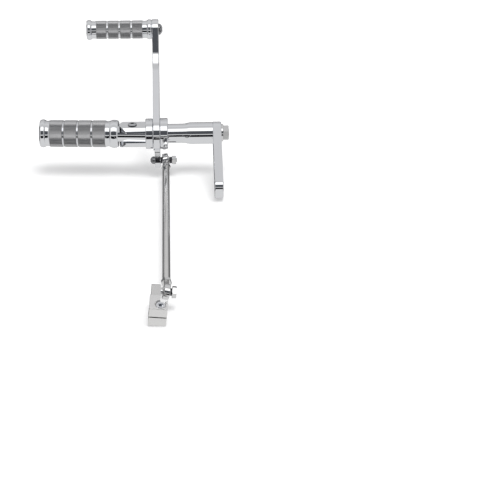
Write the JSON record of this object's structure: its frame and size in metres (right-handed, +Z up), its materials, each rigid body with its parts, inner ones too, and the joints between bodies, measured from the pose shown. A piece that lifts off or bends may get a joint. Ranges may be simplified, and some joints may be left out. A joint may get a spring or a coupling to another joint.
{
  "type": "motorcycle footpeg",
  "caption": "Left forward control with folding knurled footpeg, bent shift lever with toe peg, frame bracket, ball-jointed tie rod and splined clamp lever.",
  "frame": {"origin": "centre of the upper frame bolt hole, on the inner face of the bracket that bears on the motorcycle frame", "axes": "+X along the axle towards the motorcycle, +Y forwards towards the toe peg, +Z up"},
  "size_m": [0.2245, 0.5174, 0.1574],
  "materials": {
    "chromed_aluminium": "billet aluminium, polished and chrome plated",
    "chromed_steel": "turned steel, chrome plated",
    "plated_steel": "bright zinc plated steel hardware",
    "rod_steel": "ground steel bar with a fine lengthwise grain",
    "satin_steel": "satin plated steel",
    "dark_steel": "black oxide steel",
    "bearing_bronze": "plain sintered bronze"
  },
  "bodies": {
    "axle_frame": {"bracket": "chromed_aluminium", "axle_clevis": "chromed_steel", "pivot_bolt": "chromed_steel", "stop_collar": "chromed_aluminium", "collar_screw": "dark_steel", "spacer_sleeve": "chromed_aluminium", "axle_washer": "plated_steel", "axle_nut": "plated_steel"},
    "folding_peg": {"footpeg": "chromed_aluminium"},
    "shift_lever": {"shift_arm": "chromed_aluminium", "arm_bushing": "bearing_bronze", "toe_peg": "chromed_aluminium", "toe_peg_bolt": "chromed_steel", "lug_bolt": "chromed_steel", "lug_spacer": "dark_steel", "lug_washer": "dark_steel", "lug_nut": "plated_steel"},
    "upper_joint": {"upper_ball": "plated_steel"},
    "link": {"upper_rod_end": "plated_steel", "upper_jam_nut": "plated_steel", "tie_rod": "rod_steel", "lower_jam_nut": "plated_steel", "lower_rod_end": "plated_steel"},
    "lower_joint": {"lower_ball": "plated_steel"},
    "shaft_lever": {"clamp_lever": "satin_steel", "pinch_screw": "chromed_steel", "lower_spacer": "plated_steel", "lower_washer": "dark_steel", "lower_bolt": "plated_steel"}
  },
  "joints": [
    {"name": "peg_fold", "type": "hinge", "parent": "axle_frame", "child": "folding_peg", "pos_m": [-0.10505, 0.0376, 0.01916], "axis": [0, 0, -1], "range_deg": [0, 85]},
    {"name": "shift_swing", "type": "hinge", "parent": "axle_frame", "child": "shift_lever", "pos_m": [-0.07665, 0.0376, 0.01916], "axis": [1, 0, 0], "range_deg": [-20, 20]},
    {"name": "upper_joint_turn", "type": "hinge", "parent": "shift_lever", "child": "upper_joint", "pos_m": [-0.06615, 0.03253, -0.01284], "axis": [1, 0, 0], "range_deg": [-35, 45]},
    {"name": "link_swing", "type": "hinge", "parent": "upper_joint", "child": "link", "pos_m": [-0.06615, 0.03253, -0.01284], "axis": [0, 0, 1], "range_deg": [-8, 8]},
    {"name": "lower_joint_swing", "type": "hinge", "parent": "link", "child": "lower_joint", "pos_m": [-0.06615, -0.31157, -0.01284], "axis": [0.0921, -0.2756, 0.9568], "range_deg": [-8, 8]},
    {"name": "shaft_lever_turn", "type": "hinge", "parent": "lower_joint", "child": "shaft_lever", "pos_m": [-0.06615, -0.31157, -0.01284], "axis": [0.9954, 0, -0.0958], "range_deg": [-60, 60]}
  ]
}
